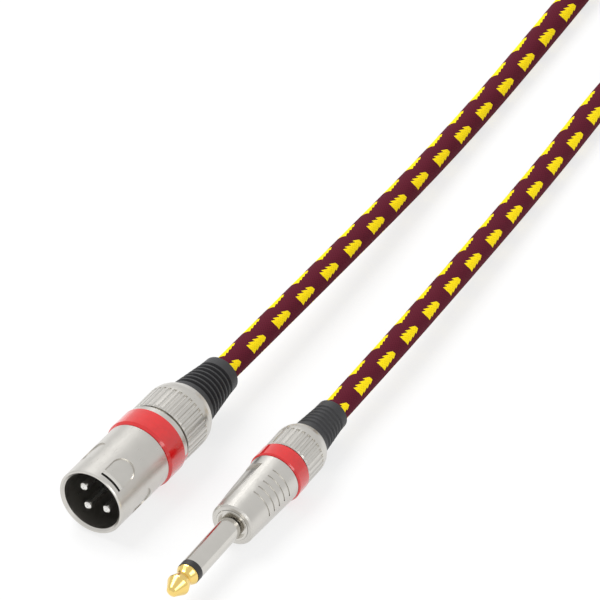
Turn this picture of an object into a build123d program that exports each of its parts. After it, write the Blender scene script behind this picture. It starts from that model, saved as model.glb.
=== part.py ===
from build123d import *

import os
from math import cos, pi, radians, sin, tan

# Instrument cable: a male three-contact plug on one end and a quarter-inch mono plug on the other.
# Millimetres, +Z up. Each plug is drawn upright, its mating end at height 0 and its cable leaving
# upwards, then laid on the ground. The origin is on the ground, under the middle of the two plugs.

os.makedirs("parts", exist_ok=True)

# ---- Cable and its lay -------------------------------------------------------------------------
CABLE_D = 7.0
CABLE_R = CABLE_D / 2
BOOT_GAP = 0.12  # radial running gap of a boot on the cable
FACE_GAP = 0.05  # gap between parts stacked end to end
SLIP_GAP = 0.05  # radial gap between parts that slip together
THREAD_GAP = 0.12  # radial gap between a nut and the crests it runs on

XLR_HEADING = 90.0  # direction in plan, in degrees, in which each cable leaves its plug
JACK_HEADING = 92.64
JACK_FRONT_X = 35.4
JACK_FRONT_Y = -17.5
XLR_JACKET_AT = 31.0  # where the cable's jacket ends inside each plug
JACK_JACKET_AT = 50.0

# ---- Three-contact plug ------------------------------------------------------------------------
XLR_R = 9.5
XLR_MOUTH_R = 8.85
XLR_BORE_R = 8.3
XLR_BARREL = 22.5
XLR_BORE_DEPTH = 22.0
XLR_NECK_R = 8.6
XLR_RING_R = 10.0
XLR_RING_LENGTH = 7.0
XLR_COLLAR_LENGTH = 2.2
XLR_REAR_BORE_R = 6.95
XLR_THREAD_R = 8.3
XLR_THREAD_PITCH = 1.2
XLR_THREAD_TURNS = 5
XLR_SHELL_LENGTH = 38.5
XLR_ROLL = 33.5  # turn of the latch window from straight up
PIN_R = 1.2
PIN_CIRCLE_R = 4.1
PIN_FRONT = 1.8
PIN_REAR = 27.0
PIN_CUP_R = 0.85
PIN_CUP_DEPTH = 3.0
PIN_FLANGE_R = 1.7
PIN_FLANGE_LENGTH = 0.8
INSERT_LENGTH = 7.0
WINDOW_AT, WINDOW_LENGTH, WINDOW_WIDTH = 1.5, 1.8, 6.5
RECESS_DEPTH, RECESS_LENGTH, RECESS_WIDTH = 0.35, 7.4, 6.7
TAB_WIDTH, TAB_TURN = 5.0, 80.0  # the ring's tab, and its turn from the window
RECESS_ENDS = ((0, 11.0), (72, 14.0), (-72, 14.0))  # turn from the window, and where it ends
XLR_CORE_R = 0.6

XLR_NUT_R = 9.45
XLR_NUT_LENGTH = 13.3
XLR_NUT_KNURL = 8.7
XLR_NUT_TAIL_R = 7.95
XLR_FLUTES = 36
XLR_BOOT_R = 7.25
XLR_BOOT_TAIL_R = 5.0
XLR_BOOT_VISIBLE = 17.0

# ---- Quarter-inch plug -------------------------------------------------------------------------
JACK_R = 3.175
JACK_TIP_R = 3.1
JACK_WAIST_R = 2.2
JACK_TIP_LENGTH = 8.9
JACK_RING_LENGTH = 2.0
JACK_SHELL_AT = 31.5
JACK_ROD_R = 1.0
JACK_LINING_R = 1.9
JACK_COLLAR_R = 4.6
JACK_COLLAR_GROOVE_R = 4.0
JACK_FLANGE_R = 5.4
JACK_FLANGE_AT = 33.0
JACK_FLANGE_END = 37.0
JACK_SHELL_FRONT_R = 6.1
JACK_SHELL_REAR_R = 7.1
JACK_SHELL_LENGTH = 22.0
JACK_BORE_R = 5.9
JACK_NECK_R = 6.3
JACK_RING_R = 7.5
JACK_ID_LENGTH = 5.2
JACK_THREAD_R = 6.0
JACK_THREAD_PITCH = 1.0
JACK_THREAD_TURNS = 6
JACK_REAR_BORE_R = 4.9
JACK_SHELL_TOTAL = 33.5
JACK_GROOVES = 5
JACK_GROOVE_PITCH = 2.4
JACK_CORE_R = 0.6
CORE_GAP = 0.3  # from a jacket's end to where its conductors are drawn

JACK_NUT_R = 7.3
JACK_NUT_LENGTH = 11.3
JACK_NUT_KNURL = 7.4
JACK_NUT_TAIL_R = 5.9
JACK_FLUTES = 28
JACK_BOOT_R = 5.5
JACK_BOOT_TAIL_R = 4.2
JACK_BOOT_VISIBLE = 13.6

# ---- Put-away hank -----------------------------------------------------------------------------
HANK_X, HANK_Y = 7.5, 322.0  # middle of its near end
HANK_STRAIGHT = 110.0
HANK_INNER_R = 21.0  # to the middle of the inner turn's cable
HANK_LAYERS = 2
TIE_WIDTH = 16.0
TIE_THICK = 1.2

# Middle line of each run, from the end of its jacket to the hank. The plug's ends are worked out.
XLR_ROUTE = [(-5.0, 184.0, 3.5), (-9.9, 247.0, 3.5), (-13.5, 283.0, 3.5), (-19.0, 306.0, 3.5)]
JACK_ROUTE = [(22.5, 183.5, 3.5), (17.0, 236.0, 3.5), (20.5, 266.0, 3.5), (31.0, 293.0, 4.8),
              (34.6, 309.0, 8.2)]
XLR_FIRST_RUN = 77.0
JACK_FIRST_RUN = 75.0
ARC_SHARE = 0.45  # share of the shorter run that each arc uses


# ---- Helpers -----------------------------------------------------------------------------------
def turned(*outline):
    """Solid of revolution about Z, from its (radius, height) corners."""
    return revolve(make_face(Polyline(*[(r, 0, z) for r, z in outline], close=True)), Axis.Z)


def disc(radius, bottom, top):
    return Pos(0, 0, (bottom + top) / 2) * Cylinder(radius, top - bottom)


def tube(outer, inner, bottom, top):
    return disc(outer, bottom, top) - disc(inner, bottom - 1, top + 1)


def crests(core, crest, start, pitch, count):
    """Outline corners of ring-shaped thread crests, going up."""
    corners = []
    for i in range(count):
        low = start + i * pitch
        corners += [(core, low), (crest, low + pitch * 0.35), (crest, low + pitch * 0.55)]
    return corners + [(core, start + count * pitch - 0.1)]


def ribs(front_r, tail_r, start, end, front_collar, tail_collar, count, depth):
    """Outline corners of a boot's grooved outside, going up."""
    span = end - tail_collar - start - front_collar
    pitch = span / count
    slope = (tail_r - front_r) / (end - start)
    corners = [(front_r, start)]
    for i in range(count):
        low = start + front_collar + i * pitch
        for offset, sunk in ((0.0, 0), (0.2, depth), (0.5, depth), (0.7, 0)):
            height = low + offset * pitch
            corners.append((front_r + slope * (height - start) - sunk, height))
    return corners + [(tail_r + 0.2, end - 0.4), (tail_r - 0.2, end)]


def flutes(radius, bottom, top, count, flute_r, depth):
    """Round-bottomed flutes along the outside of a nut."""
    cutter = Pos(0, 0, (bottom + top) / 2) * Cylinder(flute_r, top - bottom)
    return [place * cutter for place in PolarLocations(radius + flute_r - depth, count)]


def bent_wire(radius, bend, *points):
    path = FilletPolyline(*points, radius=bend)
    start = Plane(origin=points[0], z_dir=Vector(*points[1]) - Vector(*points[0]))
    return sweep(start * Circle(radius), path=path)


def upright_plane(x, y, height, heading):
    """Plane that lays a plug down: its own X points up, its own Z runs along the heading."""
    along = (cos(radians(heading)), sin(radians(heading)), 0)
    return Plane(origin=(x, y, height), x_dir=(0, 0, 1), z_dir=along)


# ---- Three-contact plug ------------------------------------------------------------------------
XLR_RING_END = XLR_BARREL + XLR_RING_LENGTH
XLR_COLLAR_END = XLR_RING_END + XLR_COLLAR_LENGTH
XLR_NUT_AT = XLR_COLLAR_END + 0.6
XLR_NUT_END = XLR_NUT_AT + XLR_NUT_LENGTH
XLR_NUT_BORE_R = XLR_THREAD_R + THREAD_GAP
XLR_NUT_SHOULDER = XLR_NUT_END - 2.6
XLR_CHUCK_HEAD = 2.5
XLR_FLANGE_AT = XLR_SHELL_LENGTH + XLR_CHUCK_HEAD + 0.3
XLR_BOOT_END = XLR_NUT_END + XLR_BOOT_VISIBLE
XLR_INSERT_AT = XLR_BORE_DEPTH - INSERT_LENGTH


def barrel_cut(turn, shape, inner_r):
    """Cut a flat shape, drawn with its Y along the barrel, down to inner_r at a turn round it."""
    side = Plane(origin=(0, 0, 0), x_dir=(0, 1, 0), z_dir=(1, 0, 0))
    cut = extrude(side * shape, XLR_R + 1) - disc(inner_r, -1, XLR_SHELL_LENGTH)
    return Rot(0, 0, turn) * cut


def xlr_shell():
    neck_end = XLR_COLLAR_END + 0.1
    outer = [(XLR_MOUTH_R, 0), (XLR_R - 0.2, 0), (XLR_R, 0.25), (XLR_R, XLR_BARREL - 0.3),
             (XLR_R - 0.3, XLR_BARREL), (XLR_NECK_R, XLR_BARREL), (XLR_NECK_R, neck_end)]
    thread = crests(XLR_THREAD_R - 0.35, XLR_THREAD_R, neck_end, XLR_THREAD_PITCH, XLR_THREAD_TURNS)
    end_r = XLR_THREAD_R - 0.6
    inner = [(end_r, XLR_SHELL_LENGTH), (XLR_REAR_BORE_R, XLR_SHELL_LENGTH),
             (XLR_REAR_BORE_R, XLR_BORE_DEPTH), (XLR_BORE_R, XLR_BORE_DEPTH), (XLR_BORE_R, 0.55)]
    shell = turned(*outer, *thread, *inner)
    window = Pos(0, WINDOW_AT + WINDOW_LENGTH / 2) * Rectangle(WINDOW_WIDTH, WINDOW_LENGTH)
    shell -= barrel_cut(XLR_ROLL, window, XLR_BORE_R - 1)
    for turn, end in RECESS_ENDS:
        round_r = RECESS_WIDTH / 2
        straight = RECESS_LENGTH - round_r
        recess = Pos(0, end - round_r - straight / 2) * Rectangle(RECESS_WIDTH, straight)
        recess += Pos(0, end - round_r) * Circle(round_r)
        shell -= barrel_cut(XLR_ROLL + turn, recess, XLR_R - RECESS_DEPTH)
    return shell


def pin_places():
    """Turn of each contact round the plug; the third is opposite the window."""
    return [XLR_ROLL + 90, XLR_ROLL - 90, XLR_ROLL + 180]


def at_pin(turn, shape):
    return Rot(0, 0, turn) * Pos(PIN_CIRCLE_R, 0, 0) * shape


def xlr_insert():
    radius = XLR_BORE_R - 0.02
    body = turned((0, XLR_INSERT_AT), (radius - 0.4, XLR_INSERT_AT), (radius, XLR_INSERT_AT + 0.4),
                  (radius, XLR_BORE_DEPTH), (0, XLR_BORE_DEPTH))
    for turn in pin_places():
        body -= at_pin(turn, disc(PIN_R + 0.02, 0, PIN_REAR))
    return body


def xlr_pin(turn):
    flange = XLR_BORE_DEPTH + 0.02
    pin = turned((0, PIN_FRONT + 0.35), (0.35, PIN_FRONT), (PIN_R - 0.55, PIN_FRONT),
                 (PIN_R - 0.15, PIN_FRONT + 0.3), (PIN_R, PIN_FRONT + 0.8), (PIN_R, flange),
                 (PIN_FLANGE_R, flange), (PIN_FLANGE_R, flange + PIN_FLANGE_LENGTH),
                 (PIN_R + 0.1, flange + PIN_FLANGE_LENGTH), (PIN_R + 0.1, PIN_REAR),
                 (PIN_CUP_R, PIN_REAR), (PIN_CUP_R, PIN_REAR - PIN_CUP_DEPTH),
                 (0, PIN_REAR - PIN_CUP_DEPTH))
    return at_pin(turn, pin)


def ring_tab(width, bottom, top):
    """Block where the ring's tab passes through the collar's notch."""
    block = Pos(XLR_R, 0, (bottom + top) / 2) * Box(4, width, top - bottom)
    return Rot(0, 0, XLR_ROLL + TAB_TURN) * block


def xlr_id_ring():
    inner = XLR_NECK_R + SLIP_GAP
    front = XLR_BARREL + FACE_GAP
    ring = turned((inner, front), (XLR_RING_R - 0.6, front), (XLR_RING_R, front + 0.7),
                  (XLR_RING_R, XLR_RING_END - 0.2), (XLR_RING_R - 0.2, XLR_RING_END),
                  (inner, XLR_RING_END))
    tab = ring_tab(TAB_WIDTH, XLR_RING_END, XLR_COLLAR_END)
    tab &= tube(XLR_R, inner, XLR_RING_END, XLR_COLLAR_END)
    return ring + tab


def xlr_collar():
    bottom = XLR_RING_END + FACE_GAP
    inner = XLR_NECK_R + SLIP_GAP
    collar = turned((inner, bottom), (XLR_R - 0.2, bottom), (XLR_R, bottom + 0.2),
                    (XLR_R, XLR_COLLAR_END - 0.4), (XLR_R - 0.4, XLR_COLLAR_END),
                    (inner, XLR_COLLAR_END))
    return collar - ring_tab(TAB_WIDTH + 2 * SLIP_GAP, XLR_RING_END, XLR_COLLAR_END + 1)


def chuck(body_r, head_r, bottom, seat, head):
    """Slotted collet that grips the cable, with a head that the boot presses."""
    body = turned((CABLE_R, bottom), (body_r - 0.5, bottom), (body_r, bottom + 0.8), (body_r, seat),
                  (head_r, seat), (head_r, seat + head - 0.3), (head_r - 0.3, seat + head),
                  (CABLE_R, seat + head))
    length = seat - 1.5 - bottom
    for turn in (0, 90):
        body -= Rot(0, 0, turn) * Pos(0, 0, bottom + length / 2) * Box(2 * body_r + 2, 0.8, length)
    return body


def gland_nut(radius, bore_r, tail_bore_r, tail_r, bottom, knurl, shoulder, top, count):
    """Fluted nut; its inner shoulder draws the boot's flange forward."""
    rise = top - bottom - knurl
    drop = radius - tail_r
    knurl_end = bottom + knurl
    nut = turned((bore_r, bottom), (radius - 0.35, bottom), (radius, bottom + 0.35),
                 (radius, knurl_end), (radius - 0.04 * drop, knurl_end + 0.2 * rise),
                 (radius - 0.25 * drop, knurl_end + 0.5 * rise),
                 (radius - 0.7 * drop, knurl_end + 0.82 * rise), (tail_r, top - 0.1 * rise),
                 (tail_r - 0.2, top), (tail_bore_r, top), (tail_bore_r, shoulder),
                 (bore_r, shoulder))
    return nut - flutes(radius, bottom - 0.5, knurl_end - 0.3, count, 0.5, 0.36)


def boot(radius, tail_r, flange_r, flange_at, shoulder, nut_end, end, collars, count):
    """Ribbed strain relief with a flange that the nut holds."""
    bore_r = CABLE_R + BOOT_GAP
    depth = min(0.8, (tail_r - bore_r) * 0.6)
    outside = ribs(radius, tail_r, nut_end, end, *collars, count, depth)
    return turned((bore_r, flange_at), (flange_r, flange_at), (flange_r, shoulder - FACE_GAP),
                  (radius, shoulder - FACE_GAP), *outside, (bore_r, end))


def xlr_core(turn, jacket_r):
    """Insulated conductor from the cable's end into one contact's cup."""
    a = radians(turn)

    def out(radius, height):
        return (radius * cos(a), radius * sin(a), height)

    return bent_wire(XLR_CORE_R, 1.0, out(jacket_r, XLR_JACKET_AT - CORE_GAP),
                     out(PIN_CIRCLE_R, PIN_REAR + 0.3), out(PIN_CIRCLE_R, PIN_REAR - PIN_CUP_DEPTH + 0.1))


def xlr_parts():
    flange_r = XLR_NUT_BORE_R - 0.2
    parts = {
        "xlr_shell": xlr_shell(),
        "xlr_insert": xlr_insert(),
        "xlr_id_ring": xlr_id_ring(),
        "xlr_collar": xlr_collar(),
        "xlr_chuck": chuck(XLR_REAR_BORE_R - SLIP_GAP, XLR_THREAD_R - 0.5, XLR_JACKET_AT + 0.5,
                           XLR_SHELL_LENGTH + 0.1, XLR_CHUCK_HEAD),
        "xlr_gland_nut": gland_nut(XLR_NUT_R, XLR_NUT_BORE_R, XLR_BOOT_R + 0.15, XLR_NUT_TAIL_R,
                                   XLR_NUT_AT, XLR_NUT_KNURL, XLR_NUT_SHOULDER, XLR_NUT_END,
                                   XLR_FLUTES),
        "xlr_boot": boot(XLR_BOOT_R, XLR_BOOT_TAIL_R, flange_r, XLR_FLANGE_AT, XLR_NUT_SHOULDER,
                         XLR_NUT_END, XLR_BOOT_END, (2.2, 2.9), 7),
    }
    for number, turn in enumerate(pin_places(), 1):
        parts[f"xlr_pin_{number}"] = xlr_pin(turn)
    names = ("xlr_drain_wire", "xlr_core_hot", "xlr_core_cold")
    for name, turn in zip(names, pin_places()):
        parts[name] = xlr_core(turn, 1.6)
    return parts


# ---- Quarter-inch plug -------------------------------------------------------------------------
JACK_SHELL_END = JACK_SHELL_AT + JACK_SHELL_LENGTH
JACK_ID_END = JACK_SHELL_END + JACK_ID_LENGTH
JACK_THREAD_END = JACK_SHELL_AT + JACK_SHELL_TOTAL
JACK_NUT_AT = JACK_ID_END + 0.4
JACK_NUT_END = JACK_NUT_AT + JACK_NUT_LENGTH
JACK_NUT_BORE_R = JACK_THREAD_R + THREAD_GAP
JACK_NUT_SHOULDER = JACK_NUT_END - 2.2
JACK_CHUCK_HEAD = 1.4
JACK_FLANGE_BOOT_AT = JACK_THREAD_END + JACK_CHUCK_HEAD + 0.3
JACK_BOOT_END = JACK_NUT_END + JACK_BOOT_VISIBLE
JACK_TIP_LUG_AT = JACK_FLANGE_END + 2.0
GROUND_LUG_R = CABLE_R + 0.7


def jack_tip():
    """Contact tip in one piece with its centre rod."""
    return turned((0, 0), (0.8, 0.12), (1.5, 0.6), (JACK_TIP_R - 0.05, 3.6), (JACK_TIP_R, 3.95),
                  (JACK_TIP_R - 0.1, 4.3), (JACK_WAIST_R + 0.1, 6.3), (JACK_WAIST_R, 6.75),
                  (JACK_WAIST_R + 0.15, 7.2), (JACK_TIP_R - 0.1, 8.4), (JACK_TIP_R, 8.65),
                  (JACK_TIP_R - 0.03, JACK_TIP_LENGTH), (JACK_ROD_R, JACK_TIP_LENGTH),
                  (JACK_ROD_R, JACK_TIP_LUG_AT + 1.2), (0, JACK_TIP_LUG_AT + 1.2))


def jack_tip_insulator():
    ring_end = JACK_TIP_LENGTH + JACK_RING_LENGTH
    bore = JACK_ROD_R + 0.02
    return turned((bore, JACK_TIP_LENGTH + 0.01), (JACK_R, JACK_TIP_LENGTH + 0.01),
                  (JACK_R, ring_end - 0.01), (JACK_LINING_R, ring_end - 0.01),
                  (JACK_LINING_R, JACK_FLANGE_END - 0.02), (bore, JACK_FLANGE_END - 0.02))


def jack_sleeve():
    bore = JACK_LINING_R + 0.02
    front = JACK_SHELL_AT - 0.2
    return turned((bore, JACK_TIP_LENGTH + JACK_RING_LENGTH), (JACK_R, JACK_TIP_LENGTH + JACK_RING_LENGTH),
                  (JACK_R, front + 1.1), (JACK_COLLAR_GROOVE_R, front + 1.1),
                  (JACK_COLLAR_GROOVE_R, front), (JACK_COLLAR_R - 0.1, front),
                  (JACK_COLLAR_R, front + 0.1), (JACK_COLLAR_R, JACK_FLANGE_AT + 0.02),
                  (JACK_FLANGE_R, JACK_FLANGE_AT + 0.02), (JACK_FLANGE_R, JACK_FLANGE_END),
                  (bore, JACK_FLANGE_END))


def jack_rear_insulator():
    washer = tube(JACK_FLANGE_R - 0.1, JACK_ROD_R + 0.02, JACK_FLANGE_END + 0.01, JACK_TIP_LUG_AT - 0.01)
    notch = Pos(GROUND_LUG_R, 0, JACK_TIP_LUG_AT) * Box(1.6, 3.2, 6)
    return washer - notch


def jack_tip_lug():
    ring = tube(2.2, JACK_ROD_R + 0.01, JACK_TIP_LUG_AT, JACK_TIP_LUG_AT + 0.6)
    blade = Pos(-1.9, 0, JACK_TIP_LUG_AT + 3.0) * Box(0.6, 2.2, 6.0)
    return ring + blade


def jack_ground_lug():
    """Strip from the sleeve's flange back to a claw round the cable."""
    thick = GROUND_LUG_R - CABLE_R - SLIP_GAP
    start = JACK_FLANGE_END + 0.01
    claw_at, claw_end = JACK_JACKET_AT + 0.6, JACK_JACKET_AT + 3.4
    blade_r = GROUND_LUG_R - thick / 2
    blade = Pos(blade_r, 0, (start + claw_end) / 2) * Box(thick, 2.6, claw_end - start)
    claw = tube(GROUND_LUG_R, CABLE_R + SLIP_GAP, claw_at, claw_end)
    claw -= Pos(-GROUND_LUG_R, 0, claw_at) * Box(GROUND_LUG_R, 2 * GROUND_LUG_R, 20)
    return (blade - disc(CABLE_R + SLIP_GAP, claw_at - 1, claw_end + 1)) + claw


def shell_radius(height):
    share = (height - JACK_SHELL_AT) / JACK_SHELL_LENGTH
    return JACK_SHELL_FRONT_R + share * (JACK_SHELL_REAR_R - JACK_SHELL_FRONT_R)


def jack_shell():
    bevel = 0.5
    thread = crests(JACK_THREAD_R - 0.3, JACK_THREAD_R, JACK_ID_END + 0.2, JACK_THREAD_PITCH,
                    JACK_THREAD_TURNS)
    shell = turned((JACK_COLLAR_R + SLIP_GAP, JACK_SHELL_AT), (JACK_SHELL_FRONT_R - bevel, JACK_SHELL_AT),
                   (JACK_SHELL_FRONT_R, JACK_SHELL_AT + bevel), (JACK_SHELL_REAR_R, JACK_SHELL_END - 0.2),
                   (JACK_SHELL_REAR_R - 0.2, JACK_SHELL_END), (JACK_NECK_R, JACK_SHELL_END),
                   (JACK_NECK_R, JACK_ID_END + 0.1), *thread,
                   (JACK_THREAD_R - 0.4, JACK_THREAD_END), (JACK_REAR_BORE_R, JACK_THREAD_END),
                   (JACK_REAR_BORE_R, JACK_SHELL_END - 0.5), (JACK_BORE_R, JACK_SHELL_END - 0.5),
                   (JACK_BORE_R, JACK_TIP_LUG_AT), (JACK_FLANGE_R + SLIP_GAP, JACK_TIP_LUG_AT),
                   (JACK_FLANGE_R + SLIP_GAP, JACK_FLANGE_AT), (JACK_COLLAR_R + SLIP_GAP, JACK_FLANGE_AT))
    for i in range(JACK_GROOVES):
        height = JACK_SHELL_AT + 8.0 + i * JACK_GROOVE_PITCH
        radius = shell_radius(height)
        groove = tube(radius + 1, radius - 0.22, height - 0.2, height + 0.2)
        wedge = Rot(0, 0, XLR_ROLL + 20) * Pos(radius, 0, height) * Box(radius * 1.1, 2 * radius * 0.6, 2)
        shell -= groove & wedge
    panel_length, panel_depth = 15.0, 0.35
    panel = Pos(JACK_SHELL_FRONT_R + 2, 0, JACK_SHELL_AT + 11) * Box(4, 7.0, panel_length)
    panel -= disc(shell_radius(JACK_SHELL_AT + 11) - panel_depth, 0, JACK_SHELL_END)
    return shell - Rot(0, 0, XLR_ROLL - 75) * panel


def jack_liner():
    return tube(JACK_BORE_R - SLIP_GAP, JACK_BORE_R - 0.5, JACK_TIP_LUG_AT + 0.05, JACK_SHELL_END - 0.55)


def jack_id_ring():
    inner = JACK_NECK_R + SLIP_GAP
    front = JACK_SHELL_END + FACE_GAP
    return turned((inner, front), (JACK_RING_R - 0.35, front), (JACK_RING_R, front + 0.4),
                  (JACK_RING_R, JACK_ID_END - 0.4), (JACK_RING_R - 0.35, JACK_ID_END),
                  (inner, JACK_ID_END))


def jack_parts():
    flange_r = JACK_NUT_BORE_R - 0.2
    front = JACK_TIP_LUG_AT
    core = bent_wire(JACK_CORE_R, 1.0, (0, 0, JACK_JACKET_AT - CORE_GAP), (-0.7, 0, front + 6.5),
                     (-0.95, 0, front + 2.0))
    drain = bent_wire(JACK_CORE_R * 0.8, 1.0, (1.6, 0, JACK_JACKET_AT - CORE_GAP), (2.5, 0, front + 6.5),
                      (3.0, 0, front + 3.0))
    return {
        "jack_tip": jack_tip(),
        "jack_tip_insulator": jack_tip_insulator(),
        "jack_sleeve": jack_sleeve(),
        "jack_rear_insulator": jack_rear_insulator(),
        "jack_tip_lug": jack_tip_lug(),
        "jack_ground_lug": jack_ground_lug(),
        "jack_shell": jack_shell(),
        "jack_liner": jack_liner(),
        "jack_id_ring": jack_id_ring(),
        "jack_core_hot": core,
        "jack_shield_wire": drain,
        "jack_chuck": chuck(JACK_REAR_BORE_R - SLIP_GAP, JACK_THREAD_R - 0.3, JACK_SHELL_END + 1.5,
                            JACK_THREAD_END + 0.1, JACK_CHUCK_HEAD),
        "jack_gland_nut": gland_nut(JACK_NUT_R, JACK_NUT_BORE_R, JACK_BOOT_R + 0.12, JACK_NUT_TAIL_R,
                                    JACK_NUT_AT, JACK_NUT_KNURL, JACK_NUT_SHOULDER, JACK_NUT_END,
                                    JACK_FLUTES),
        "jack_boot": boot(JACK_BOOT_R, JACK_BOOT_TAIL_R, flange_r, JACK_FLANGE_BOOT_AT,
                          JACK_NUT_SHOULDER, JACK_NUT_END, JACK_BOOT_END, (1.8, 2.4), 6),
    }


# ---- Cable -------------------------------------------------------------------------------------
def cord_tube(name, points):
    """Straight runs joined by tangent arcs, each as large as its two runs allow."""
    corners = [Vector(*point) for point in points]
    runs = [after - before for before, after in zip(corners, corners[1:])]
    radii = [ARC_SHARE * min(one.length, two.length) / tan(radians(one.get_angle(two)) / 2)
             for one, two in zip(runs, runs[1:])]
    path = FilletPolyline(*corners, radius=radii)
    cord = sweep(Plane(origin=corners[0], z_dir=runs[0]) * Circle(CABLE_R), path=path)
    expected = path.length * pi * CABLE_R**2
    print(name, "length", round(path.length, 1), "radii", [round(r) for r in radii],
          "volume share", round(cord.volume / expected, 4))
    return cord


def hank_solid():
    outer_r = HANK_INNER_R + 1.5 * CABLE_D
    inner_r = HANK_INNER_R - 0.5 * CABLE_D
    height = HANK_LAYERS * CABLE_D
    plan = SlotCenterToCenter(HANK_STRAIGHT, 2 * outer_r) - SlotCenterToCenter(HANK_STRAIGHT, 2 * inner_r)
    middle = Pos(HANK_X, HANK_Y + HANK_STRAIGHT / 2, 0)
    solid = middle * Rot(0, 0, 90) * extrude(plan, height)
    for place in tie_places():
        solid -= place * Pos(0, 0, TIE_THICK / 2) * Box(2 * CABLE_D, TIE_WIDTH, TIE_THICK)
    return solid


def tie_places():
    middle_r = HANK_INNER_R + CABLE_D / 2
    return [Pos(HANK_X + side * middle_r, HANK_Y + HANK_STRAIGHT / 2, 0) for side in (-1, 1)]


def tie(place):
    height = HANK_LAYERS * CABLE_D + TIE_THICK
    outer = Pos(0, 0, height / 2) * Box(2 * CABLE_D + 2 * TIE_THICK, TIE_WIDTH, height)
    inner = Pos(0, 0, height / 2) * Box(2 * CABLE_D, TIE_WIDTH + 2, height - 2 * TIE_THICK)
    return place * (outer - inner)


def cord_parts(xlr_place, jack_place):
    def on_axis(place, distance):
        return tuple(place.from_local_coords((0, 0, distance)))

    xlr_points = [on_axis(xlr_place, XLR_JACKET_AT), on_axis(xlr_place, XLR_JACKET_AT + XLR_FIRST_RUN)]
    jack_points = [on_axis(jack_place, JACK_JACKET_AT),
                   on_axis(jack_place, JACK_JACKET_AT + JACK_FIRST_RUN)]
    parts = {
        "cable_xlr_run": cord_tube("cable_xlr_run", xlr_points + XLR_ROUTE),
        "cable_jack_run": cord_tube("cable_jack_run", jack_points + JACK_ROUTE),
        "cable_hank": hank_solid(),
    }
    for name, place in zip(("hank_tie_left", "hank_tie_right"), tie_places()):
        parts[name] = tie(place)
    return parts


# ---- Whole cable -------------------------------------------------------------------------------
xlr_place = upright_plane(0, 0, XLR_RING_R, XLR_HEADING)
jack_place = upright_plane(JACK_FRONT_X, JACK_FRONT_Y, JACK_RING_R, JACK_HEADING)

plugs = {name: xlr_place.location * part for name, part in xlr_parts().items()}
plugs |= {name: jack_place.location * part for name, part in jack_parts().items()}
box = Compound(children=[part.moved(Location()) for part in plugs.values()]).bounding_box()
shift = Pos(-box.center().X, -box.center().Y, -box.min.Z)

for name, part in (plugs | cord_parts(xlr_place, jack_place)).items():
    export_step(shift * part, f"parts/{name}.step")

front = shift.position
print("three-contact plug's front at", [round(v, 4) for v in (front.X, front.Y, front.Z + XLR_RING_R)])
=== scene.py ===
"""Looks of the instrument cable: braided cord, satin and polished metal, red rings and black rubber.

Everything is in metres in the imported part's frame. Places come from the frame's boxes.
"""
import math

import bmesh
import bpy
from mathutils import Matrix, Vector


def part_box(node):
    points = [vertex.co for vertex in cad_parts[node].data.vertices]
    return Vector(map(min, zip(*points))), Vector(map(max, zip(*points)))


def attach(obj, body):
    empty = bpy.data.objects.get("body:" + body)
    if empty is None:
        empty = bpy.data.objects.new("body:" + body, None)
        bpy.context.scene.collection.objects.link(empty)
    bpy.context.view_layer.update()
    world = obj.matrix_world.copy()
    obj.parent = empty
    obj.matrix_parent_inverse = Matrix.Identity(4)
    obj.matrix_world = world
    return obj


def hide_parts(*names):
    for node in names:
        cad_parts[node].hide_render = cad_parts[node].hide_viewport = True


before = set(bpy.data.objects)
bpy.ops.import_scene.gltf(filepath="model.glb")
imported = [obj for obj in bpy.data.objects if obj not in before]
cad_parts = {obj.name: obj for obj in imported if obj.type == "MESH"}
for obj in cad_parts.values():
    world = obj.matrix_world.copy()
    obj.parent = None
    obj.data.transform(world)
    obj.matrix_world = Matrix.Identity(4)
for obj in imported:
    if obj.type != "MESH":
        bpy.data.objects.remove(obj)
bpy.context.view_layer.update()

MM = 0.001

# ---- Places ------------------------------------------------------------------------------------
shell_low, shell_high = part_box("xlr_shell")
RIM = Vector(((shell_low[0] + shell_high[0]) / 2, shell_low[1], (shell_low[2] + shell_high[2]) / 2))
GROUND = Vector((RIM.x, RIM.y, 0))

CABLE_D = 7 * MM
CABLE_R = CABLE_D / 2
JACK_HEADING = math.radians(92.64)
JACK_FRONT = GROUND + Vector((35.4, -17.5, 7.5)) * MM
JACK_ALONG = Vector((math.cos(JACK_HEADING), math.sin(JACK_HEADING), 0))

# The route's points, from part.py, measured from the ground under the three-contact plug's rim. Only the first
# point at each plug differs: it is 5 mm further along the plug's axis than part.py's.
XLR_ROUTE = [(0, 36, 10), (0, 108, 10), (-5.0, 184.0, 3.5), (-9.9, 247.0, 3.5),
             (-13.5, 283.0, 3.5), (-19.0, 306.0, 3.5)]
JACK_ROUTE = [(22.5, 183.5, 3.5), (17.0, 236.0, 3.5), (20.5, 266.0, 3.5), (31.0, 293.0, 4.8),
              (34.6, 309.0, 8.2)]
# Distances of the cord's first points from the jack's tip. part.py has 50 and 125. The added point between
# them keeps the spline drawn here on the jack's axis for as far as the boot slides back.
JACK_ENDS = (55, 100, 125)

HANK_X, HANK_Y, HANK_STRAIGHT = 7.5, 322.0, 110.0
OUTER, INNER = 28.0, 21.0
LOW, HIGH = 3.5, 10.5
ARC_POINTS = 6
STRAIGHT_SHARES = (0.3, 0.7)
TIE_THICK = 1.2


def place(point):
    return GROUND + Vector(point) * MM


# ---- Camera, floor and light -------------------------------------------------------------------
VIEW_AZIMUTH, VIEW_ELEVATION = math.radians(32.15), math.radians(38.3)
LENS, SENSOR = 1000, 36
FRAME_WIDTH = 155.8 * MM  # width of the picture at the aim's distance
AIM_FROM_RIM = (0.9, 99.2, 0)
AIM = RIM + Vector(AIM_FROM_RIM) * MM

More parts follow.
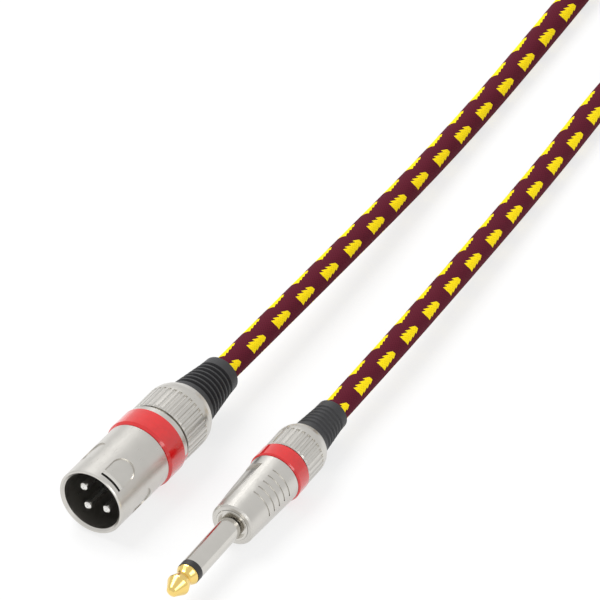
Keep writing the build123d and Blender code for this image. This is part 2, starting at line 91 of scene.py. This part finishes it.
SHOWN_WHITE, WORLD_LIGHT = 1.0, 0.55  # what the camera and reflections see, and what lights the rest
FLOOR_SIZE, FLOOR_LEVEL = 12, -0.0004
PAPER_GREY, PAPER_ROUGHNESS = 0.93, 0.9
GLOW_SHARE = 0.72  # share of the seen floor that is a plain white glow, without shadow
# Each lamp's name, place from the aim, size and power.
LAMPS = (("key", (-0.5, 0.1, 0.9), 0.7, 9), ("fill", (0.8, -0.5, 0.6), 0.6, 3))


def make_camera():
    camera = bpy.data.objects.new("camera", bpy.data.cameras.new("camera"))
    bpy.context.collection.objects.link(camera)
    camera.data.lens, camera.data.sensor_width = LENS, SENSOR
    back = Vector((math.sin(VIEW_AZIMUTH) * math.cos(VIEW_ELEVATION),
                   -math.cos(VIEW_AZIMUTH) * math.cos(VIEW_ELEVATION), math.sin(VIEW_ELEVATION)))
    camera.location = AIM + back * (FRAME_WIDTH * LENS / SENSOR)
    camera.rotation_mode = "QUATERNION"
    camera.rotation_quaternion = (-back).to_track_quat("-Z", "Y")
    bpy.context.scene.camera = camera


def area_lamp(name, spot, size, power):
    data = bpy.data.lights.new(name, "AREA")
    data.size, data.energy = size, power
    lamp = bpy.data.objects.new(name, data)
    bpy.context.collection.objects.link(lamp)
    lamp.location = spot
    lamp.rotation_mode = "QUATERNION"
    lamp.rotation_quaternion = (AIM - Vector(spot)).to_track_quat("-Z", "Y")


def camera_or_reflection(nodes, links):
    """One where the ray comes from the camera, a reflection or a see-through surface."""
    path = nodes.new("ShaderNodeLightPath")
    total = path.outputs["Is Camera Ray"]
    for name in ("Is Glossy Ray", "Is Transmission Ray"):
        larger = nodes.new("ShaderNodeMath")
        larger.operation = "MAXIMUM"
        links.new(total, larger.inputs[0])
        links.new(path.outputs[name], larger.inputs[1])
        total = larger.outputs[0]
    return total


def make_world():
    world = bpy.data.worlds.new("studio")
    bpy.context.scene.world = world
    world.use_nodes = True
    nodes, links = world.node_tree.nodes, world.node_tree.links
    shown = nodes.new("ShaderNodeBackground")
    shown.inputs["Strength"].default_value = SHOWN_WHITE
    lighting = nodes["Background"]
    lighting.inputs["Color"].default_value = (1, 1, 1, 1)
    lighting.inputs["Strength"].default_value = WORLD_LIGHT
    mix = nodes.new("ShaderNodeMixShader")
    links.new(camera_or_reflection(nodes, links), mix.inputs[0])
    links.new(lighting.outputs[0], mix.inputs[1])
    links.new(shown.outputs[0], mix.inputs[2])
    links.new(mix.outputs[0], nodes["World Output"].inputs["Surface"])


def make_floor():
    bpy.ops.mesh.primitive_plane_add(size=FLOOR_SIZE, location=(AIM.x, AIM.y, FLOOR_LEVEL))
    floor = bpy.context.object
    floor.name = "floor"
    material = bpy.data.materials.new("floor")
    material.use_nodes = True
    nodes, links = material.node_tree.nodes, material.node_tree.links
    paper = nodes["Principled BSDF"]
    paper.inputs["Base Color"].default_value = (PAPER_GREY, PAPER_GREY, PAPER_GREY, 1)
    paper.inputs["Roughness"].default_value = PAPER_ROUGHNESS
    white = nodes.new("ShaderNodeEmission")
    share = nodes.new("ShaderNodeMath")
    share.operation = "MULTIPLY"
    share.inputs[1].default_value = GLOW_SHARE
    mix = nodes.new("ShaderNodeMixShader")
    links.new(camera_or_reflection(nodes, links), share.inputs[0])
    links.new(share.outputs[0], mix.inputs[0])
    links.new(paper.outputs[0], mix.inputs[1])
    links.new(white.outputs[0], mix.inputs[2])
    links.new(mix.outputs[0], nodes["Material Output"].inputs["Surface"])
    floor.data.materials.append(material)


# ---- Materials ---------------------------------------------------------------------------------
class Finish:
    """A principled material under construction, with short names for the nodes it uses."""

    def __init__(self, name, colour, roughness, metallic=0.0, coat=0.0):
        self.material = bpy.data.materials.new(name)
        self.material.use_nodes = True
        self.nodes, self.links = self.material.node_tree.nodes, self.material.node_tree.links
        self.shader = self.nodes["Principled BSDF"]
        self.shader.inputs["Base Color"].default_value = (*colour, 1)
        self.shader.inputs["Roughness"].default_value = roughness
        self.shader.inputs["Metallic"].default_value = metallic
        self.shader.inputs["Coat Weight"].default_value = coat
        self.colour, self.roughness = colour, roughness
        self.place = self.nodes.new("ShaderNodeTexCoord").outputs["Object"]

    def math(self, operation, *values):
        node = self.nodes.new("ShaderNodeMath")
        node.operation = operation
        for socket, value in zip(node.inputs, values):
            if isinstance(value, (int, float)):
                socket.default_value = value
            else:
                self.links.new(value, socket)
        return node.outputs[0]

    def noise(self, per_mm, detail=3.0, stretch=(1, 1, 1)):
        mapping = self.nodes.new("ShaderNodeMapping")
        mapping.inputs["Scale"].default_value = [part * per_mm / MM for part in stretch]
        self.links.new(self.place, mapping.inputs["Vector"])
        noise = self.nodes.new("ShaderNodeTexNoise")
        noise.inputs["Scale"].default_value = 1.0
        noise.inputs["Detail"].default_value = detail
        self.links.new(mapping.outputs[0], noise.inputs["Vector"])
        return noise.outputs[0]

    def spread(self, value, low, high):
        node = self.nodes.new("ShaderNodeMapRange")
        node.inputs["To Min"].default_value, node.inputs["To Max"].default_value = low, high
        self.links.new(value, node.inputs["Value"])
        return node.outputs[0]

    def vary_colour(self, value, light, dark):
        mix = self.blend(value, [c * dark for c in self.colour], [min(1, c * light) for c in self.colour])
        self.links.new(mix, self.shader.inputs["Base Color"])

    def blend(self, share, first, second):
        mix = self.nodes.new("ShaderNodeMix")
        mix.data_type = "RGBA"
        self.links.new(share, mix.inputs["Factor"])
        for socket, colour in ((mix.inputs[6], first), (mix.inputs[7], second)):
            if isinstance(colour, (list, tuple)):
                socket.default_value = (*colour, 1)
            else:
                self.links.new(colour, socket)
        return mix.outputs[2]

    def vary_roughness(self, value, amount):
        rough = self.spread(value, self.roughness - amount, self.roughness + amount)
        self.links.new(rough, self.shader.inputs["Roughness"])

    def bump(self, value, distance_mm, strength=0.5):
        bump = self.nodes.new("ShaderNodeBump")
        bump.inputs["Strength"].default_value = strength
        bump.inputs["Distance"].default_value = distance_mm * MM
        self.links.new(value, bump.inputs["Height"])
        self.links.new(bump.outputs[0], self.shader.inputs["Normal"])


def metal(name, colour, roughness, grain, along=0.15):
    """Plated metal with fine lengthwise grain."""
    finish = Finish(name, colour, roughness, metallic=1.0)
    finish.vary_roughness(finish.noise(per_mm=3.0, stretch=(1, along, 1)), amount=0.06)
    finish.vary_colour(finish.noise(per_mm=0.25, detail=4.0), light=1.05, dark=0.93)
    finish.bump(finish.noise(per_mm=9.0, detail=2.0, stretch=(1, along, 1)), grain, strength=0.35)
    return finish.material


def moulded(name, colour, roughness, grain=0.01, coat=0.0):
    """Plastic or rubber with a slightly uneven surface."""
    finish = Finish(name, colour, roughness, coat=coat)
    finish.vary_colour(finish.noise(per_mm=0.6), light=1.15, dark=0.85)
    finish.vary_roughness(finish.noise(per_mm=1.8), amount=0.05)
    finish.bump(finish.noise(per_mm=7.0), grain, strength=0.4)
    return finish.material


# The dark colours are painted shade, used in the hollows between the braid's crossing strands.
MAROON, MAROON_DARK = (0.107, 0.0103, 0.023), (0.05, 0.005, 0.011)
YELLOW, YELLOW_DARK = (1.0, 0.78, 0.008), (0.78, 0.50, 0.004)
MOTIF_PITCH, MOTIF_LENGTH, MOTIF_TEETH = 12.2, 6.9, 4
MOTIF_ROWS = 4
ROW_STAGGER = 0.62  # how far each second row is ahead, as a share of the pitch
MOTIF_SLANT, MOTIF_START = 0.35, 0.15
MOTIF_HALF_WIDTH, MOTIF_TAPER = 1.2, 0.095  # at its foot, and how much it loses per millimetre
TOOTH_LEFT, TOOTH_RIGHT = 0.85, 0.45  # how far the teeth stand out on each side
STRANDS_ROUND, STRAND_PITCH = 24, 0.92


def braid():
    """Woven cover: toothed yellow motifs in four staggered rows on a maroon ground."""
    finish = Finish("braid", MAROON, 0.85)
    uv = finish.nodes.new("ShaderNodeUVMap")
    uv.uv_map = "braid"
    split = finish.nodes.new("ShaderNodeSeparateXYZ")
    finish.links.new(uv.outputs[0], split.inputs[0])
    around, along = split.outputs[0], split.outputs[1]  # turns, and millimetres from the plug
    math_ = finish.math

    rows = math_("MULTIPLY", around, MOTIF_ROWS)
    row = math_("FLOOR", rows)
    row_width = math.pi * CABLE_D / MM / MOTIF_ROWS
    across = math_("MULTIPLY", math_("SUBTRACT", math_("SUBTRACT", rows, row), 0.5), row_width)
    stagger = math_("MULTIPLY", math_("PINGPONG", row, 1.0), ROW_STAGGER)
    turn = math_("FRACT", math_("ADD", math_("DIVIDE", along, MOTIF_PITCH), stagger))
    up = math_("SUBTRACT", math_("MULTIPLY", turn, MOTIF_PITCH), math_("MULTIPLY", across, MOTIF_SLANT))
    saw = math_("SUBTRACT", 1.0, math_("FRACT", math_("MULTIPLY", up, MOTIF_TEETH / MOTIF_LENGTH)))
    taper = math_("SUBTRACT", MOTIF_HALF_WIDTH, math_("MULTIPLY", up, MOTIF_TAPER))
    left = math_("ADD", taper, math_("MULTIPLY", saw, TOOTH_LEFT))
    right = math_("ADD", taper, math_("MULTIPLY", saw, TOOTH_RIGHT))
    inside = math_("MULTIPLY", math_("GREATER_THAN", across, math_("MULTIPLY", left, -1.0)),
                   math_("LESS_THAN", across, right))
    inside = math_("MULTIPLY", inside, math_("GREATER_THAN", up, MOTIF_START))
    inside = math_("MULTIPLY", inside, math_("LESS_THAN", up, MOTIF_LENGTH))

    round_count = math_("MULTIPLY", around, STRANDS_ROUND)
    along_count = math_("DIVIDE", along, STRAND_PITCH)
    one = math_("SINE", math_("MULTIPLY", math_("ADD", round_count, along_count), math.pi))
    two = math_("SINE", math_("MULTIPLY", math_("SUBTRACT", round_count, along_count), math.pi))
    weave = math_("MAXIMUM", math_("ABSOLUTE", one), math_("ABSOLUTE", two))
    fibres = finish.noise(per_mm=8.0, detail=2.0)
    # Painted shade, darker in the hollows where the strands cross, times random fibre tone that is the braid's
    # own.
    hollow_shade_and_fibre_tone = math_("MULTIPLY", finish.spread(weave, low=0.25, high=1.0),
                 finish.spread(fibres, low=0.75, high=1.2))
    ground = finish.blend(hollow_shade_and_fibre_tone, MAROON_DARK, MAROON)
    motif = finish.blend(hollow_shade_and_fibre_tone, YELLOW_DARK, YELLOW)
    finish.links.new(finish.blend(inside, ground, motif), finish.shader.inputs["Base Color"])
    finish.shader.inputs["Specular IOR Level"].default_value = 0.12
    finish.bump(weave, distance_mm=0.12, strength=0.5)
    return finish.material


def make_materials():
    nickel = metal("satin_nickel", (0.63, 0.612, 0.575), 0.30, 0.006)
    polished = metal("polished_nickel", (0.66, 0.64, 0.60), 0.13, 0.002)
    silver = metal("contact_silver", (0.84, 0.83, 0.80), 0.2, 0.003)
    gold = metal("gold_plate", (0.93, 0.68, 0.22), 0.14, 0.002)
    tinned = metal("tinned_brass", (0.70, 0.66, 0.55), 0.35, 0.004)
    copper = metal("bare_copper", (0.75, 0.42, 0.25), 0.3, 0.004)
    red = moulded("red_ring", (0.62, 0.008, 0.009), 0.14, 0.003, coat=0.7)
    black = moulded("black_plastic", (0.014, 0.013, 0.014), 0.42)
    grey = moulded("grey_plastic", (0.08, 0.08, 0.085), 0.5)
    rubber = moulded("black_rubber", (0.022, 0.022, 0.024), 0.5, 0.03)
    insulation = moulded("core_insulation", (0.7, 0.06, 0.05), 0.4)
    return {
        nickel: ("xlr_shell", "xlr_collar", "xlr_gland_nut", "jack_shell", "jack_gland_nut"),
        polished: ("jack_sleeve",),
        silver: ("xlr_pin_1", "xlr_pin_2", "xlr_pin_3"),
        gold: ("jack_tip",),
        tinned: ("jack_tip_lug", "jack_ground_lug"),
        copper: ("xlr_drain_wire", "jack_shield_wire"),
        red: ("xlr_id_ring", "jack_id_ring"),
        black: ("xlr_insert", "jack_tip_insulator", "jack_rear_insulator"),
        grey: ("xlr_chuck", "jack_chuck", "jack_liner"),
        rubber: ("xlr_boot", "jack_boot"),
        insulation: ("xlr_core_hot", "xlr_core_cold", "jack_core_hot"),
    }


def dress_nodes():
    for material, names in make_materials().items():
        for name in names:
            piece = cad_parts[name]
            for slot in piece.material_slots:
                slot.material = material


# ---- Cord --------------------------------------------------------------------------------------
def arc(middle_y, start, radii, heights):
    """Control points of half a turn, clockwise seen from above, from the start angle in degrees."""
    step = 180 / ARC_POINTS
    points = []
    for i, (radius, height) in enumerate(zip(radii, heights)):
        angle = math.radians(start - (i + 0.5) * step)
        reach = radius / math.cos(math.radians(step / 2))
        points.append((HANK_X + reach * math.cos(angle), middle_y + reach * math.sin(angle), height))
    return points


def hank_points():
    """The hank's four passes along each side: outer and inner, then inner and outer a layer up."""
    climb = (3.7, 5.5, 8.5, 10.3, HIGH, HIGH)
    inward = (OUTER, OUTER, OUTER, 26.0, 23.5, 21.5)
    outward = (21.5, 25.5, OUTER, OUTER, OUTER, OUTER)
    level_inner = (INNER,) * ARC_POINTS
    passes = [(OUTER, LOW, inward, (LOW,) * ARC_POINTS), (INNER, LOW, level_inner, climb),
              (INNER, HIGH, outward, (HIGH,) * ARC_POINTS), (OUTER, HIGH, None, None)]
    points = []
    for radius, height, near_radii, near_heights in passes:
        shares = [HANK_Y + HANK_STRAIGHT * share for share in STRAIGHT_SHARES]
        points += [(HANK_X - radius, y, height) for y in shares]
        points += arc(HANK_Y + HANK_STRAIGHT, 180, (radius,) * ARC_POINTS, (height,) * ARC_POINTS)
        points += [(HANK_X + radius, y, height) for y in reversed(shares)]
        if near_radii:
            points += arc(HANK_Y, 0, near_radii, near_heights)
    return points


def route():
    jack_ends = [JACK_FRONT + JACK_ALONG * distance * MM for distance in reversed(JACK_ENDS)]
    spots = [place(p) for p in XLR_ROUTE + hank_points() + JACK_ROUTE[::-1]]
    return spots + jack_ends


def spline_line(points, resolution=16):
    """Points along the NURBS spline that has these control points."""
    curve = bpy.data.curves.new("cord_line", "CURVE")
    curve.dimensions, curve.resolution_u = "3D", resolution
    spline = curve.splines.new("NURBS")
    spline.points.add(len(points) - 1)
    for control, spot in zip(spline.points, points):
        control.co = (*spot, 1)
    spline.order_u = 3
    spline.use_endpoint_u = True
    holder = bpy.data.objects.new("cord_line", curve)
    bpy.context.collection.objects.link(holder)
    mesh = bpy.data.meshes.new_from_object(holder)
    line = [vertex.co.copy() for vertex in mesh.vertices]
    bpy.data.meshes.remove(mesh)
    bpy.data.objects.remove(holder)
    return line


def even_line(line, step):
    """The same line with points a step apart."""
    spots, left = [line[0]], step
    for one, two in zip(line, line[1:]):
        span = (two - one).length
        while span >= left > 0:
            one = one + (two - one) * (left / span)
            spots.append(one)
            span, left = (two - one).length, step
        left -= span
    return spots


SIDES = 32
RING_STEP = 1.1 * MM
ROW_TURN = 51.0  # turn of a row of motifs from straight up, seen from the nearer plug


def make_cord():
    """The whole cable as one tube. Its braid runs away from the nearer plug, turning under the left tie."""
    line = even_line(spline_line(route()), RING_STEP)
    turn_spot = place((HANK_X - INNER, HANK_Y + HANK_STRAIGHT / 2, HIGH))
    turn_at = min(range(len(line)), key=lambda i: (line[i] - turn_spot).length)
    mesh = bmesh.new()
    layer = mesh.loops.layers.uv.new("braid")
    rings = []
    for i, spot in enumerate(line):
        ahead = (line[min(i + 1, len(line) - 1)] - line[max(i - 1, 0)]).normalized()
        side = ahead.cross(Vector((0, 0, 1))).normalized()
        up = side.cross(ahead)
        rings.append([mesh.verts.new(spot + CABLE_R * (up * math.cos(a) + side * math.sin(a)))
                      for a in (2 * math.pi * k / SIDES for k in range(SIDES))])
    offset = 0.5 / MOTIF_ROWS - ROW_TURN / 360 + 1
    last = len(line) - 1
    for i in range(last):
        from_jack = i >= turn_at
        for k in range(SIDES):
            after = (k + 1) % SIDES
            face = mesh.faces.new((rings[i][k], rings[i][after], rings[i + 1][after], rings[i + 1][k]))
            face.smooth = True
            for loop, (ring, corner) in zip(face.loops, ((i, k), (i, k + 1), (i + 1, k + 1), (i + 1, k))):
                turns = corner / SIDES
                away = (last - ring if from_jack else ring) * RING_STEP / MM
                loop[layer].uv = ((2 - turns if from_jack else turns + 1) + offset, away)
    mesh.faces.new(rings[0])
    mesh.faces.new(rings[-1][::-1])
    bmesh.ops.recalc_face_normals(mesh, faces=mesh.faces)
    data = bpy.data.meshes.new("cable")
    mesh.to_mesh(data)
    mesh.free()
    cable = bpy.data.objects.new("cable", data)
    bpy.context.collection.objects.link(cable)
    data.materials.append(braid())
    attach(cable, "root")
    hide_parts("cable_xlr_run", "cable_hank", "cable_jack_run")


# ---- Ties --------------------------------------------------------------------------------------
TIE_OUTER_CORNER, TIE_INNER_CORNER, TIE_BEVEL = 3.2 * MM, 2.0 * MM, 0.3 * MM


def rounded_loop(half_width, low, high, corner, steps=5):
    """Outline of a strap's loop round a bundle, as (x, z)."""
    points = []
    centres = ((half_width - corner, high - corner, 0), (-half_width + corner, high - corner, 90),
               (-half_width + corner, low + corner, 180), (half_width - corner, low + corner, 270))
    for x, z, start in centres:
        for i in range(steps + 1):
            angle = math.radians(start + 90 * i / steps)
            points.append((x + corner * math.cos(angle), z + corner * math.sin(angle)))
    return points


def make_tie(name, node, material):
    """A strap that fills the node's box, hollow where the bundle passes."""
    low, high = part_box(node)
    middle_x, half = (low[0] + high[0]) / 2, (high[0] - low[0]) / 2
    outer = rounded_loop(half, low[2], high[2], TIE_OUTER_CORNER)
    thick = TIE_THICK * MM
    inner = rounded_loop(half - thick, low[2] + thick, high[2] - thick, TIE_INNER_CORNER)
    mesh = bmesh.new()
    loops = []
    for y in (low[1], high[1]):
        for outline in (outer, inner):
            loops.append([mesh.verts.new((middle_x + x, y, z)) for x, z in outline])
    count = len(outer)
    for i in range(count):
        j = (i + 1) % count
        for one, two in ((0, 1), (1, 3), (3, 2), (2, 0)):
            mesh.faces.new((loops[one][i], loops[one][j], loops[two][j], loops[two][i]))
    bmesh.ops.recalc_face_normals(mesh, faces=mesh.faces)
    data = bpy.data.meshes.new(name)
    mesh.to_mesh(data)
    mesh.free()
    strap = bpy.data.objects.new(name, data)
    bpy.context.collection.objects.link(strap)
    data.materials.append(material)
    bevel = strap.modifiers.new("bevel", "BEVEL")
    bevel.width, bevel.segments, bevel.limit_method = TIE_BEVEL, 2, "ANGLE"
    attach(strap, "root")
    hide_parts(node)
    return strap


def tie_fabric():
    finish = Finish("tie_fabric", (0.02, 0.02, 0.022), 0.85)
    finish.vary_colour(finish.noise(per_mm=2.0), light=1.6, dark=0.6)
    finish.shader.inputs["Sheen Weight"].default_value = 0.2
    finish.bump(finish.noise(per_mm=5.0), distance_mm=0.15, strength=0.8)
    return finish.material


bpy.context.scene.view_settings.view_transform = "Standard"
make_camera()
fabric = tie_fabric()
straps = [make_tie(f"tie_{side}", f"hank_tie_{side}", fabric) for side in ("left", "right")]
make_cord()
make_world()
make_floor()
for lamp_name, from_aim, lamp_size, lamp_power in LAMPS:
    area_lamp(lamp_name, AIM + Vector(from_aim), lamp_size, lamp_power)
dress_nodes()
